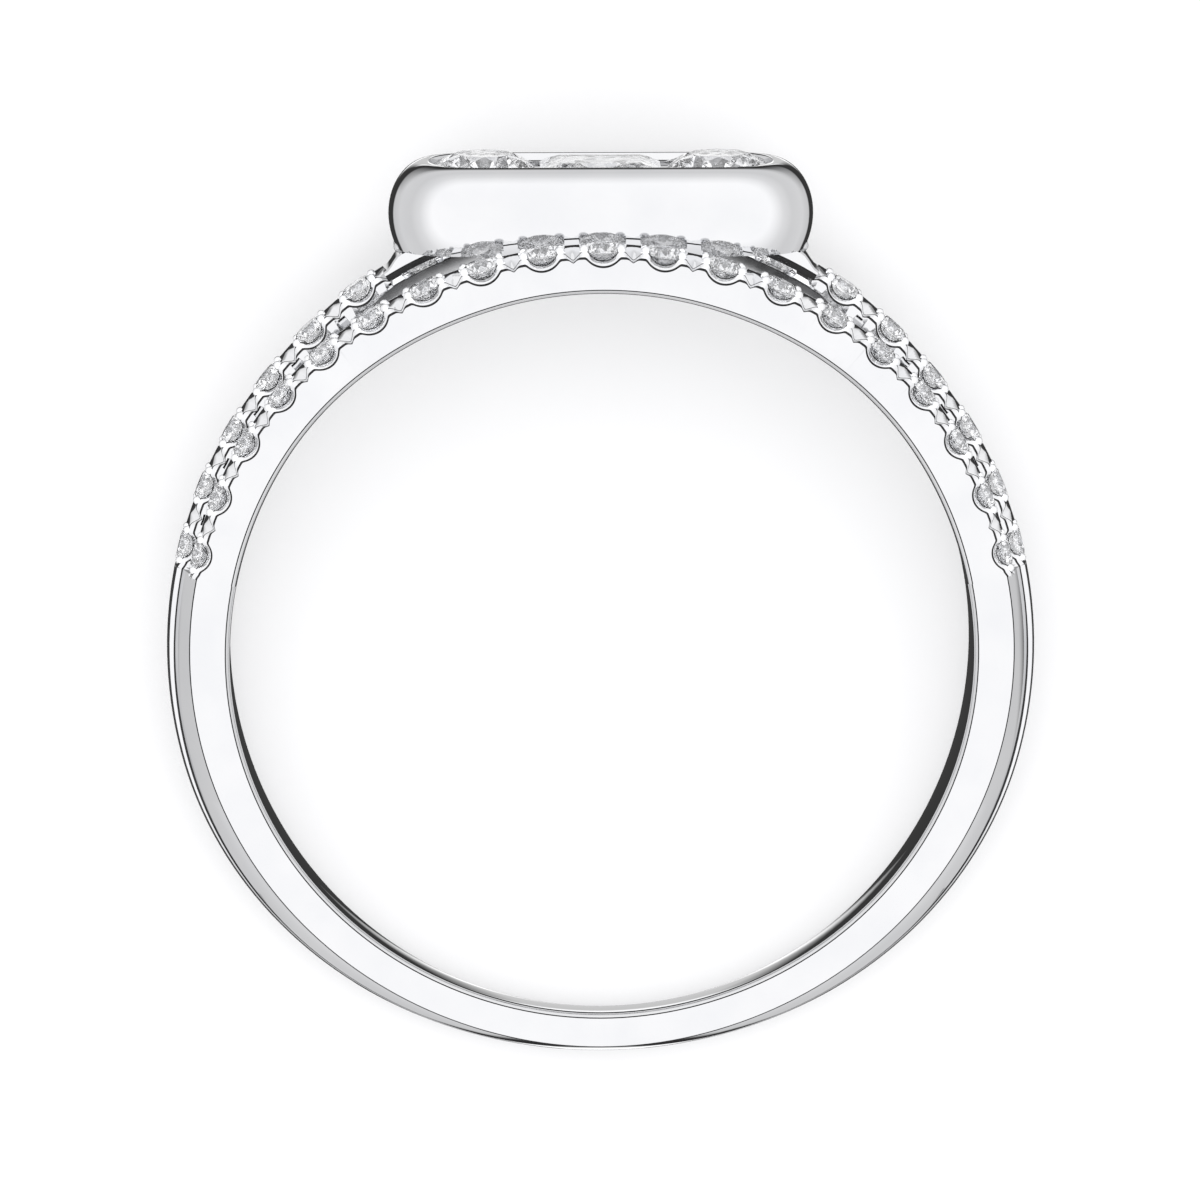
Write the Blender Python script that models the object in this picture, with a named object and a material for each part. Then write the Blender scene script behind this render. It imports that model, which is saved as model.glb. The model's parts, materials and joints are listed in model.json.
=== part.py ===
# Three-stone bezel ring with a three-row pave split shank, lying on its side.
# Metres, +Z up. The ring is drawn upright in its own plane first: x across, y from the
# finger's centre towards the head, z from the middle of the shank towards its front side.
# An empty then leans the whole ring to the pose in which it lies on a flat surface.

import math

import bmesh
import bpy
from mathutils import Matrix, Vector

MM = 0.001

# Finger size
BORE = 17.3 * MM
BORE_EDGE = 0.16 * MM

# Shank, from the split downwards
SIDE_EDGE_RISE = 0.95 * MM
SIDE_EDGE_RISE_FOOT = 0.8 * MM
CROWN_RISE = 1.47 * MM
CROWN_RISE_FOOT = 0.98 * MM
GROOVE_DEPTH = 0.06 * MM
GROOVE_RISE = 1.2 * MM
FOOT_WIDTH = 1.1 * MM
FOOT_FLAT_ANGLE = math.radians(12)
CROWN_FULL_ANGLE = math.radians(105)
GROOVE_END_ANGLE = math.radians(122)
EDGE_SOFTENING = 0.07 * MM

# Pave rows
ROW_STONES_EACH_WAY = 9
CENTRE_ROW_FIRST = 4
SPLIT_AFTER_STONE = 6
PAVE_END_ANGLE = math.radians(80.1)
PLAIN_START_ANGLE = math.radians(83)
PAVE_STONE_HEAD = 1.08 * MM
PAVE_STONE_SHANK = 0.92 * MM
STONE_LIP = 0.04 * MM
SIDE_ROW_RISE = 1.15 * MM
CENTRE_ROW_RISE = 1.48 * MM
HEAD_ROW_ANGLE = math.radians(17)
SPLAY_START_SLOPE = 0.5
PAVE_CROWN = 0.17
PAVE_PAVILION = 0.4
PAVE_TABLE = 0.58
PAVE_SIDES = 8

# Centre rail's end below the bezel
CENTRE_RAIL_END_DEPTH = 0.5 * MM
CENTRE_RAIL_INTO_BEZEL = 0.12 * MM
CENTRE_RAIL_RISE_PACE = 1.15

# Head
STONE_CLEARANCE = 0.045 * MM
ROUND_STONE = 2.46 * MM
BAGUETTE_LENGTH = 2.8 * MM
BETWEEN_STONES = 0.09 * MM
BEZEL_HEIGHT = 2.02 * MM
BEZEL_INTO_ROWS = 0.4 * MM
BEZEL_WALL = 0.985 * MM
BEZEL_RIM = 0.13 * MM
BEZEL_FOOT_WALL = 0.5 * MM
BEZEL_FOOT_ON_RAIL = 0.2 * MM
BULGE_BELOW_RIM = 1.02 * MM
SEAT_LEDGE = 0.3 * MM
GIRDLE_BELOW_RIM = 0.2 * MM

# Cut of the main stones
TABLE_SHARE = 0.57
CROWN_ANGLE = math.radians(34.5)
PAVILION_ANGLE = math.radians(41)
GIRDLE_SHARE = 0.03
STAR_SHARE = 0.5
LOWER_HALF_SHARE = 0.76
BAGUETTE_CROWN = 0.22 * MM

# Fineness
SHARP_ANGLE = math.radians(35)
PLAIN_STEP = math.radians(6.5)
BEZEL_END_STEPS = 10
SWEEP_STEPS = 5

BORE_RADIUS = BORE / 2
PITCH_ANGLE = PAVE_END_ANGLE / (ROW_STONES_EACH_WAY + 0.5)
SPLIT_ANGLE = PITCH_ANGLE * (SPLIT_AFTER_STONE + 0.5)
OPENING_HALF_WIDTH = ROUND_STONE / 2 + STONE_CLEARANCE
CORE_HALF = (BAGUETTE_LENGTH + ROUND_STONE) / 2 + BETWEEN_STONES
BEZEL_BOTTOM = BORE_RADIUS + SIDE_ROW_RISE - BEZEL_INTO_ROWS
RIM_HEIGHT = BEZEL_BOTTOM + BEZEL_HEIGHT
GIRDLE_HEIGHT = RIM_HEIGHT - GIRDLE_BELOW_RIM
PAVILION_DEPTH = ROUND_STONE / 2 * math.tan(PAVILION_ANGLE)
CENTRE_RAIL_END = math.atan2(CORE_HALF + OPENING_HALF_WIDTH - SEAT_LEDGE, BEZEL_BOTTOM)

# Heights of the plain shank's outline, as shares of the way from its side edge to its crown
SLOPE_TOP_SHARE = 0.72
SLOPE_MIDDLE_SHARE = 0.6
CROWN_SIDE_SHARE = 0.82

# How a row's metal lies below its stones' tables, at places along one pitch from a stone's
# middle (0) to the middle of the bridge to the next stone (0.5). Depths are shares of the
# stone's width: the rail's side edge, the lip or bead just inside it, and the row's middle.
SCALLOP = (
    # place, side, lip, middle
    (0.00, 0.41, 0.33, 0.46),
    (0.20, 0.37, 0.25, 0.42),
    (0.34, 0.24, 0.02, 0.28),
    (0.50, 0.26, 0.13, 0.23),
)
BRIDGE = SCALLOP[-1]

# The baguette's steps, as shares of its half width (inset from its outline) and of its crown
# or pavilion depth.
CROWN_STEPS = (
    # inset, height
    (0.38, 1.0),
    (0.19, 0.62),
    (0.0, 0.0),
)
PAVILION_STEPS = (
    # inset, depth
    (0.0, 0.0),
    (0.3, 0.42),
    (0.65, 0.78),
    (1.0, 1.0),
)


def smooth(value):
    value = min(max(value, 0.0), 1.0)
    return value * value * (3 - 2 * value)


def mix(a, b, share):
    return a + (b - a) * share


def from_top(angle):
    """Angle from the head, 0 to pi on either side."""
    return abs(math.remainder(angle, 2 * math.pi))


def ring_point(angle, radius, across):
    return Vector((radius * math.sin(angle), radius * math.cos(angle), across))


def stone_width(angle):
    share = (from_top(angle) - HEAD_ROW_ANGLE) / (PAVE_END_ANGLE - HEAD_ROW_ANGLE)
    return mix(PAVE_STONE_HEAD, PAVE_STONE_SHANK, min(max(share, 0.0), 1.0))


def rail_half(angle):
    """Half the width of one rail."""
    in_pave = stone_width(angle) / 2 + STONE_LIP
    return in_pave * mix(1.0, foot_share(), taper(angle))


def foot_share():
    return FOOT_WIDTH / (3 * (PAVE_STONE_SHANK + 2 * STONE_LIP))


def taper(angle):
    """0 where the plain shank starts, 1 on the flat foot."""
    span = math.pi - FOOT_FLAT_ANGLE - PLAIN_START_ANGLE
    return smooth((from_top(angle) - PLAIN_START_ANGLE) / span)


def splay(angle):
    """How far a side rail has moved away from the centre rail, 0 to 1."""
    share = (SPLIT_ANGLE - from_top(angle)) / (SPLIT_ANGLE - HEAD_ROW_ANGLE)
    share = min(max(share, 0.0), 1.0)
    return smooth(share) + SPLAY_START_SLOPE * share * (1 - share) ** 2


def head_row_middle():
    """Across place of the side rows at the head: they carry the bezel's foot."""
    foot_wall = OPENING_HALF_WIDTH + BEZEL_FOOT_WALL
    return foot_wall + rail_half(0) - BEZEL_FOOT_ON_RAIL


def side_row_middle(angle):
    beside = 2 * rail_half(angle)
    return mix(beside, head_row_middle(), splay(angle))


def centre_end_rise():
    """Rise of the centre row's tables at its end, whose plain top enters the bezel's foot."""
    end_top = (BEZEL_BOTTOM + CENTRE_RAIL_INTO_BEZEL) / math.cos(CENTRE_RAIL_END)
    return end_top + BRIDGE[2] * PAVE_STONE_HEAD - BORE_RADIUS


def centre_row_rise(angle):
    share = (SPLIT_ANGLE - from_top(angle)) / (SPLIT_ANGLE - CENTRE_RAIL_END)
    return mix(CENTRE_ROW_RISE, centre_end_rise(), smooth(share))


def centre_rail_inside(angle):
    """Inner radius of the centre rail, which rises from the finger to the bezel's foot."""
    end = BORE_RADIUS + centre_end_rise() - CENTRE_RAIL_END_DEPTH
    share = (SPLIT_ANGLE - from_top(angle)) / (SPLIT_ANGLE - CENTRE_RAIL_END)
    return mix(BORE_RADIUS, end, smooth(share * CENTRE_RAIL_RISE_PACE))


def scallop_depths(angle):
    """Side, lip and middle depths below the tables at one angle of a row."""
    place = abs(math.remainder(from_top(angle) / PITCH_ANGLE, 1.0))
    for low, high in zip(SCALLOP, SCALLOP[1:]):
        if place <= high[0] + 1e-6:
            share = (place - low[0]) / (high[0] - low[0])
            width = stone_width(angle)
            return [mix(low[i], high[i], share) * width for i in (1, 2, 3)]
    return [depth * stone_width(angle) for depth in BRIDGE[1:]]


def plain_heights(angle):
    """Radii of the plain shank: side edge, shoulder, mid slope, groove, crown side, crown."""
    place = from_top(angle)
    crown_share = smooth((place - CROWN_FULL_ANGLE) / (math.pi - CROWN_FULL_ANGLE))
    fading = (place - PLAIN_START_ANGLE) / (GROOVE_END_ANGLE - PLAIN_START_ANGLE)
    grooved = 1 - smooth(fading)
    side = BORE_RADIUS + mix(SIDE_EDGE_RISE, SIDE_EDGE_RISE_FOOT, taper(angle))
    shoulder = side + EDGE_SOFTENING
    crown = BORE_RADIUS + mix(CROWN_RISE, CROWN_RISE_FOOT, crown_share)
    slope_top = mix(mix(side, crown, SLOPE_TOP_SHARE), BORE_RADIUS + GROOVE_RISE, grooved)
    slope_middle = mix(side, slope_top, SLOPE_MIDDLE_SHARE)
    groove = slope_top - GROOVE_DEPTH * grooved
    crown_side = mix(mix(side, crown, CROWN_SIDE_SHARE), crown - EDGE_SOFTENING, grooved)
    return side, shoulder, slope_middle, slope_top, groove, crown_side, crown


def pave_heights(angle):
    side_top = BORE_RADIUS + SIDE_ROW_RISE
    centre_top = BORE_RADIUS + centre_row_rise(angle)
    side, lip, middle = scallop_depths(angle)
    return (
        side_top - side,
        side_top - lip,
        side_top - middle,
        side_top - lip,
        side_top - side,
        centre_top - lip,
        centre_top - middle,
    )


def heights(angle):
    """Pave heights above the row's end, plain heights below, blended over the last bead."""
    span = PLAIN_START_ANGLE - PAVE_END_ANGLE
    share = smooth((from_top(angle) - PAVE_END_ANGLE) / span)
    return [mix(a, b, share) for a, b in zip(pave_heights(angle), plain_heights(angle))]


def joined_section(angle):
    """The three rails side by side, as one loop of (across, radius)."""
    half = rail_half(angle)
    edge = 3 * half
    lip = EDGE_SOFTENING
    side, side_lip, side_mid, inner_lip, groove, crown_side, crown = heights(angle)
    front = [
        (edge - BORE_EDGE, BORE_RADIUS),
        (edge, BORE_RADIUS + BORE_EDGE),
        (edge, side),
        (edge - lip, side_lip),
        (2 * half, side_mid),
        (half + lip, inner_lip),
        (half, groove),
        (half - lip, crown_side),
    ]
    back = [(-across, radius) for across, radius in reversed(front)]
    bottom = [(-half, BORE_RADIUS), (half, BORE_RADIUS)]
    return bottom + front + [(0.0, crown)] + back


# Places in the joined section's loop that each separate rail starts from.
FRONT_RAIL = (1, 2, 3, 4, 5, 6, 7, 8)
CENTRE_RAIL = (0, 1, 8, 9, 10, 11, 12)
BACK_RAIL = (18, 0, 12, 13, 14, 15, 16, 17)


def side_rail_section(angle, way):
    """One side rail above the split; way is 1 for the front rail and -1 for the back."""
    half = rail_half(angle)
    middle = side_row_middle(angle)
    lip = EDGE_SOFTENING
    side, side_lip, side_mid, inner_lip, groove = pave_heights(angle)[:5]
    loop = [
        (middle - half, BORE_RADIUS),
        (middle + half - BORE_EDGE, BORE_RADIUS),
        (middle + half, BORE_RADIUS + BORE_EDGE),
        (middle + half, side),
        (middle + half - lip, side_lip),
        (middle, side_mid),
        (middle - half + lip, inner_lip),
        (middle - half, groove),
    ]
    if way > 0:
        return loop
    mirrored = [(-across, radius) for across, radius in reversed(loop)]
    return mirrored[-2:] + mirrored[:-2]


def centre_rail_section(angle):
    half = rail_half(angle)
    lip = EDGE_SOFTENING
    inside = centre_rail_inside(angle)
    top = BORE_RADIUS + centre_row_rise(angle)
    side, lip_depth, middle = scallop_depths(angle)
    if from_top(angle) < PITCH_ANGLE * (CENTRE_ROW_FIRST - 0.5) + 1e-6:
        side = BRIDGE[1] * stone_width(angle)
        lip_depth = middle = BRIDGE[2] * stone_width(angle)
    return [
        (-half, inside),
        (half, inside),
        (half, top - side),
        (half - lip, top - lip_depth),
        (0.0, top - middle),
        (-half + lip, top - lip_depth),
        (-half, top - side),
    ]


def row_angles(first, last):
    """Section angles from one angle to another, at the scallop's places on every pitch."""
    places = sorted({sign * row[0] for row in SCALLOP for sign in (-1, 1)})[1:]
    angles = [
        (stone + place) * PITCH_ANGLE
        for stone in range(-ROW_STONES_EACH_WAY - 1, ROW_STONES_EACH_WAY + 2)
        for place in places
    ]
    inside = [angle for angle in angles if first + 1e-4 < angle < last - 1e-4]
    return [first] + inside + [last]


def even_angles(first, last, step):
    count = max(1, round((last - first) / step))
    return [mix(first, last, i / count) for i in range(count + 1)]


def add_section(bm, angle, section):
    return [bm.verts.new(ring_point(angle, radius, across)) for across, radius in section]


def skin(bm, sections):
    """Quads between each section and the next."""
    for near, far in zip(sections, sections[1:]):
        for i in range(len(near)):
            j = (i + 1) % len(near)
            bm.faces.new((near[i], near[j], far[j], far[i]))


def shank_mesh():
    bm = bmesh.new()
    down = row_angles(SPLIT_ANGLE, PAVE_END_ANGLE)
    plain = even_angles(PLAIN_START_ANGLE, 2 * math.pi - PLAIN_START_ANGLE, PLAIN_STEP)
    up = [2 * math.pi - angle for angle in reversed(down)]
    joined = [add_section(bm, angle, joined_section(angle)) for angle in down + plain + up]
    skin(bm, joined)
    first, last = joined[0], joined[-1]
    for way, places in ((1, FRONT_RAIL), (-1, BACK_RAIL)):
        angles = row_angles(-SPLIT_ANGLE, SPLIT_ANGLE)[1:-1]
        rail = [add_section(bm, angle, side_rail_section(angle, way)) for angle in angles]
        skin(bm, [[last[i] for i in places]] + rail + [[first[i] for i in places]])
    centre = row_angles(CENTRE_RAIL_END, SPLIT_ANGLE)[:-1]
    right = [add_section(bm, angle, centre_rail_section(angle)) for angle in centre]
    left = [add_section(bm, -angle, centre_rail_section(angle)) for angle in reversed(centre)]
    skin(bm, [[last[i] for i in CENTRE_RAIL]] + left)
    skin(bm, right + [[first[i] for i in CENTRE_RAIL]])
    bm.faces.new(left[-1])
    bm.faces.new(reversed(right[0]))
    return finished(bm, "shank", True)


def bezel_profile():
    """The bezel's wall as one loop of (distance from the head's core line, height)."""
    outside = OPENING_HALF_WIDTH + BEZEL_WALL
    rim_edge = OPENING_HALF_WIDTH + BEZEL_RIM
    foot = OPENING_HALF_WIDTH + BEZEL_FOOT_WALL
    seat = OPENING_HALF_WIDTH - SEAT_LEDGE
    bulge = RIM_HEIGHT - BULGE_BELOW_RIM
    seat_top = GIRDLE_HEIGHT - GIRDLE_SHARE * ROUND_STONE - STONE_CLEARANCE
    seat_bottom = seat_top - SEAT_LEDGE * math.tan(PAVILION_ANGLE)
    steps = [i / SWEEP_STEPS * math.pi / 2 for i in range(SWEEP_STEPS + 1)]
    shoulder = [
        (mix(rim_edge, outside, math.sin(a)), mix(bulge, RIM_HEIGHT, math.cos(a))) for a in steps
    ]
    flank = [
        (mix(foot, outside, math.cos(a)), mix(bulge, BEZEL_BOTTOM, math.sin(a))) for a in steps[1:]
    ]
    hollow = [(seat, BEZEL_BOTTOM), (seat, seat_bottom), (OPENING_HALF_WIDTH, seat_top)]
    return shoulder + flank + hollow + [(OPENING_HALF_WIDTH, RIM_HEIGHT)]


def core_stations():
    """Places and outward directions round the head's core line, a flat oval."""
    stations = []
    for end in (1, -1):
        for i in range(BEZEL_END_STEPS + 1):
            turn = math.pi * i / BEZEL_END_STEPS - math.pi / 2
            outward = Vector((end * math.cos(turn), 0, end * math.sin(turn)))
            stations.append((Vector((end * CORE_HALF, 0, 0)), outward))
    return stations


def bezel_mesh():
    bm = bmesh.new()
    rings = []
    for place, outward in core_stations():
        rings.append([bm.verts.new(place + outward * d + Vector((0, h, 0))) for d, h in bezel_profile()])
    skin(bm, rings + rings[:1])
    return finished(bm, "bezel", True)


def faceted(bm, levels, sides, turn=0.0):
    """Rings of points (radius, height, turn in steps) round +Y, wrapped in flat facets."""
    points = []
    for radius, height, offset in levels:
        if radius == 0:
            points.append(bm.verts.new((0, height, 0)))
            continue
        for i in range(sides):
            angle = 2 * math.pi * (i + offset) / sides + turn
            points.append(bm.verts.new((radius * math.cos(angle), height, radius * math.sin(angle))))
    bmesh.ops.convex_hull(bm, input=points)


def pave_stone_levels(width):
    crown = PAVE_CROWN * width
    return (
        (width / 2 * PAVE_TABLE, 0.0, 0),
        (width / 2, -crown, 0),
        (0, -crown - PAVE_PAVILION * width, 0),
    )


def pave_mesh():
    """Every pave stone of the three rows, tables outwards."""
    bm = bmesh.new()
    for stone in range(-ROW_STONES_EACH_WAY, ROW_STONES_EACH_WAY + 1):
        angle = stone * PITCH_ANGLE
        rows = [(way * side_row_middle(angle), SIDE_ROW_RISE) for way in (-1, 1)]
        if abs(stone) >= CENTRE_ROW_FIRST:
            rows.append((0.0, centre_row_rise(angle)))
        for across, rise in rows:
            part = bmesh.new()
            faceted(part, pave_stone_levels(stone_width(angle)), PAVE_SIDES, math.pi / PAVE_SIDES)
            place = Matrix.Translation(ring_point(angle, BORE_RADIUS + rise, across))
            part.transform(place @ Matrix.Rotation(-angle, 4, "Z"))
            scratch = bpy.data.meshes.new("pave_stone")
            part.to_mesh(scratch)
            part.free()
            bm.from_mesh(scratch)
            bpy.data.meshes.remove(scratch)
    return finished(bm, "pave")


def round_stone_mesh():
    """A round brilliant with its girdle's top at height 0, table up along +Y."""
    radius = ROUND_STONE / 2
    girdle = GIRDLE_SHARE * ROUND_STONE
    corner = math.cos(math.pi / 8)
    table = TABLE_SHARE * radius
    crown = (radius - table) * math.tan(CROWN_ANGLE)
    star = mix(table, radius, STAR_SHARE)
    star_height = (radius - star * corner) * math.tan(CROWN_ANGLE)
    deep = radius * (1 - LOWER_HALF_SHARE)
    culet = -girdle - PAVILION_DEPTH
    lower = culet + deep * corner * math.tan(PAVILION_ANGLE)
    levels = (
        (table, crown, 0),
        (star, star_height, 0.5),
        (radius, 0, 0),
        (radius, 0, 0.5),
        (radius, -girdle, 0),
        (radius, -girdle, 0.5),
        (deep, lower, 0.5),
        (0, culet, 0),
    )
    bm = bmesh.new()
    faceted(bm, levels, 8)
    return finished(bm, "round_stone")


def baguette_mesh():
    """A step-cut stone with its girdle's top at height 0 and a keel along its length."""
    half_length = BAGUETTE_LENGTH / 2
    half_width = OPENING_HALF_WIDTH - STONE_CLEARANCE
    girdle = GIRDLE_SHARE * ROUND_STONE
    depth = half_width * math.tan(PAVILION_ANGLE)
    crown = [(inset * half_width, height * BAGUETTE_CROWN) for inset, height in CROWN_STEPS]
    pavilion = [(inset * half_width, -girdle - deep * depth) for inset, deep in PAVILION_STEPS]
    bm = bmesh.new()
    points = []
    for inset, height in crown + pavilion:
        for x_way in (-1, 1):
            for z_way in (-1, 1):
                x = x_way * (half_length - inset)
                z = z_way * (half_width - inset)
                points.append(bm.verts.new((x, height, z)))
    bmesh.ops.remove_doubles(bm, verts=points, dist=1e-7)
    bmesh.ops.convex_hull(bm, input=bm.verts[:])
    return finished(bm, "baguette_stone")


def finished(bm, name, rounded=False):
    """The bmesh as a named mesh, normals outwards; metal is shaded round, stones keep facets."""
    loose = [vert for vert in bm.verts if not vert.link_faces]
    bmesh.ops.delete(bm, geom=loose, context="VERTS")
    bmesh.ops.recalc_face_normals(bm, faces=bm.faces[:])
    mesh = bpy.data.meshes.new(name)
    bm.to_mesh(mesh)
    bm.free()
    if rounded:
        mesh.shade_smooth()
        mesh.set_sharp_from_angle(angle=SHARP_ANGLE)
    return mesh


def material(name, colour, metallic, roughness, transmission=0.0, ior=1.45):
    made = bpy.data.materials.new(name)
    made.use_nodes = True
    shader = made.node_tree.nodes["Principled BSDF"]
    shader.inputs["Base Color"].default_value = (*colour, 1)
    shader.inputs["Metallic"].default_value = metallic
    shader.inputs["Roughness"].default_value = roughness
    shader.inputs["Transmission Weight"].default_value = transmission
    shader.inputs["IOR"].default_value = ior
    return made


def add_object(name, mesh, stuff, parent, location=(0, 0, 0)):
    body = bpy.data.objects.new(name, mesh)
    body.location = location
    body.parent = parent
    if stuff:
        mesh.materials.clear()
        mesh.materials.append(stuff)
    bpy.context.scene.collection.objects.link(body)
    return body


def add_hidden(name, mesh, parent):
    body = add_object(name, mesh, None, parent)
    body.hide_render = True
    body.display_type = "WIRE"
    return body


def fuse(body, others):
    """Joins hidden shapes to a body, all at once, as one soldered piece."""
    joined = bpy.data.collections.new("fused_to_" + body.name)
    bpy.context.scene.collection.children.link(joined)
    for other in others:
        joined.objects.link(other)
    union = body.modifiers.new("solder", "BOOLEAN")
    union.operation = "UNION"
    union.solver = "EXACT"
    union.operand_type = "COLLECTION"
    union.collection = joined


def leaned(point, lean):
    """Y and Z of a point once the ring leans by an angle about X."""
    y = point.y * math.cos(lean) - point.z * math.sin(lean)
    z = point.y * math.sin(lean) + point.z * math.cos(lean)
    return y, z


def resting_lean(points):
    """The lean at which the back of the head and the back of the foot are equally low."""
    head = [p for p in points if p.y > 0]
    foot = [p for p in points if p.y < 0]
    low, high = 0.0, math.radians(30)
    for _ in range(40):
        lean = (low + high) / 2
        if min(leaned(p, lean)[1] for p in head) < min(leaned(p, lean)[1] for p in foot):
            low = lean
        else:
            high = lean
    return (low + high) / 2


def main():
    for old in list(bpy.data.objects):
        bpy.data.objects.remove(old, do_unlink=True)

    gold = material("white_gold", (0.86, 0.86, 0.87), 1.0, 0.08)
    diamond = material("diamond", (1.0, 1.0, 1.0), 0.0, 0.0, 1.0, 2.42)

    shank = shank_mesh()
    bezel = bezel_mesh()
    pave = pave_mesh()
    round_stone = round_stone_mesh()
    baguette = baguette_mesh()

    seat = Vector((0, GIRDLE_HEIGHT, 0))
    stone_tops = [vert.co + seat for vert in round_stone.vertices]
    points = [vert.co for mesh in (shank, bezel, pave) for vert in mesh.vertices] + stone_tops
    lean = resting_lean(points)
    placed = [leaned(point, lean) for point in points]
    middle = (max(y for y, z in placed) + min(y for y, z in placed)) / 2

    rest = bpy.data.objects.new("ring_at_rest", None)
    rest.rotation_euler = (lean, 0, 0)
    rest.location = (0, -middle, -min(z for y, z in placed))
    bpy.context.scene.collection.objects.link(rest)

    body = add_object("shank_and_bezel", shank, gold, rest)
    fuse(body, [add_hidden("bezel_wall", bezel, rest), add_hidden("pave_stones", pave, rest)])

    aside = Vector((CORE_HALF, 0, 0))
    add_object("round_stone_left", round_stone, diamond, rest, seat - aside)
    add_object("round_stone_right", round_stone, diamond, rest, seat + aside)
    add_object("baguette_stone", baguette, diamond, rest, seat)


main()
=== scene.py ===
# Looks of a white gold ring: a swollen oval bezel with two round stones and a step-cut one
# between them, on three pave rails that run together into a plain, tapering shank.
# Shapes are made in the ring's own frame (x across, y from the finger's centre to the head,
# z from the middle of the shank to its front side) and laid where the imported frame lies.

import json
import math

import bmesh
import bpy
from mathutils import Matrix, Vector


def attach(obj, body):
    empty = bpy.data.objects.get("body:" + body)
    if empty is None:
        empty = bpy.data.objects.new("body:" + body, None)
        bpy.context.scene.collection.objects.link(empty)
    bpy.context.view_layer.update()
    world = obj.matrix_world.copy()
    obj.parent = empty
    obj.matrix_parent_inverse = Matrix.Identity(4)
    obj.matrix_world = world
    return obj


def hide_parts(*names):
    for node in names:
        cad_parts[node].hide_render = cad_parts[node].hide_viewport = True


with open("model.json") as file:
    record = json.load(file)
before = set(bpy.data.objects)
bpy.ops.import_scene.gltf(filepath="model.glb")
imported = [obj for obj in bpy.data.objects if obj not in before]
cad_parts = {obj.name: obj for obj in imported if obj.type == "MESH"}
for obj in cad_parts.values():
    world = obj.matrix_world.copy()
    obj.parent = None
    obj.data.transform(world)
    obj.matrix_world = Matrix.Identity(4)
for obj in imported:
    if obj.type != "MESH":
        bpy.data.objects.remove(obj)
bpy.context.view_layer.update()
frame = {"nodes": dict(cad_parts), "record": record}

MM = 0.001
UP = Vector((0, 1, 0))

# Finger hole and shank
BORE_RADIUS = 8.65 * MM
BORE_EDGE = 0.16 * MM
BORE_EDGE_STEPS = 5
BORE_EDGE_TURN = math.pi / 3
BORE_EDGE_CORNER = 0.68
FOOT_HALF_WIDTH = 0.55 * MM
FOOT_FLAT_ANGLE = math.radians(12)
SIDE_EDGE_RISE = 0.95 * MM
SIDE_EDGE_RISE_FOOT = 0.8 * MM
CROWN_RISE = 1.47 * MM
CROWN_RISE_FOOT = 0.97 * MM
GROOVE_RISE = 1.27 * MM
GROOVE_DEPTH = 0.07 * MM
GROOVE_HALF = 0.03 * MM
# Sizes of the strips painted dark as lines of shade along the groove, the side face and the bore
GROOVE_LINE = 0.035 * MM
SHANK_LINE = 0.036 * MM
SHANK_BORE_LINE = 0.015 * MM
SLOPE_TOP_SHARE = 0.72
SLOPE_MIDDLE_SHARE = 0.57
CROWN_FULL_ANGLE = math.radians(105)
GROOVE_END_ANGLE = math.radians(140)
PLAIN_LAP = math.radians(0.25)

# Pave rows
ROW_STONES_EACH_WAY = 9
CENTRE_ROW_FIRST = 4
PAVE_END_ANGLE = math.radians(80.1)
PITCH = PAVE_END_ANGLE / (ROW_STONES_EACH_WAY + 0.5)
SPLIT_ANGLE = PITCH * 6.5
HEAD_ROW_ANGLE = math.radians(17)
CENTRE_RAIL_END = math.radians(21.5)
STONE_AT_HEAD = 1.08 * MM
STONE_AT_SHANK = 0.92 * MM
SIDE_ROW_TABLES = BORE_RADIUS + 1.15 * MM
CENTRE_ROW_TABLES = BORE_RADIUS + 1.48 * MM
CENTRE_ROW_TABLES_END = BORE_RADIUS + 1.72 * MM
CENTRE_RAIL_END_DEPTH = 0.5 * MM
CENTRE_RAIL_RISE_PACE = 1.15
HEAD_ROW_MIDDLE = 2.145 * MM
SPLAY_START_SLOPE = 0.5

# One pitch of a rail, in widths of its stone, heights from the table
RAIL_HALF = 0.54
RAIL_BOTTOM = -1.1
RAIL_BEND = -0.5
RAIL_TOP = -0.12
SIDE_TOP = -0.28
SIDE_CHAMFER = 0.13
RAIL_SHOULDER = RAIL_HALF - SIDE_CHAMFER
LEDGE_INSIDE = -0.37
LEDGE_TOP = -0.22
BORE_FILLET = 0.15
SEAT = 0.505
SEAT_TOP_EDGE = -0.21
SEAT_SLOPE = 0.9
SCOOP = 0.35
SCOOP_AT_FACE = 0.475
NOTCH_TIP = -0.37
NOTCH_SLOPE = 0.95
NOTCH_ROUNDING = 0.02
NOTCH_REACH = 0.47
NOTCH_FADE = 0.75
RIDGE = 0.05
RIB_HALF = 0.02
RIB_SIDE = 0.003
RIB_RISE = 0.028
RIB_LOWEST = -0.24
SOFT = 0.045
# Widths of the strips painted dark as lines of shade
LINE = 0.028
BORE_LINE = 0.014
LIP_LINE = 0.018
BEAD_ALONG = 0.4
BEAD_ACROSS = 0.34
BEAD_RADII = (0.115, 0.1, 0.13)
BEAD_MIDDLE = -0.13
BEAD_STRAY = 0.012
PITCH_STEPS = 34

# The rows' ends, where the plain shank starts, in widths of the last stones
LAST_METAL = 0.6
LAST_RISE = 0.06
LAST_RISE_START = 0.42
LAST_RIB = 0.45
LAST_RIB_FADE = 0.1
LAST_BEAD = 0.15
LAST_BEAD_INSIDE = 0.04
LAST_BEAD_ACROSS = 0.22
LAST_BEAD_MIDDLE = -0.2

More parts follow.
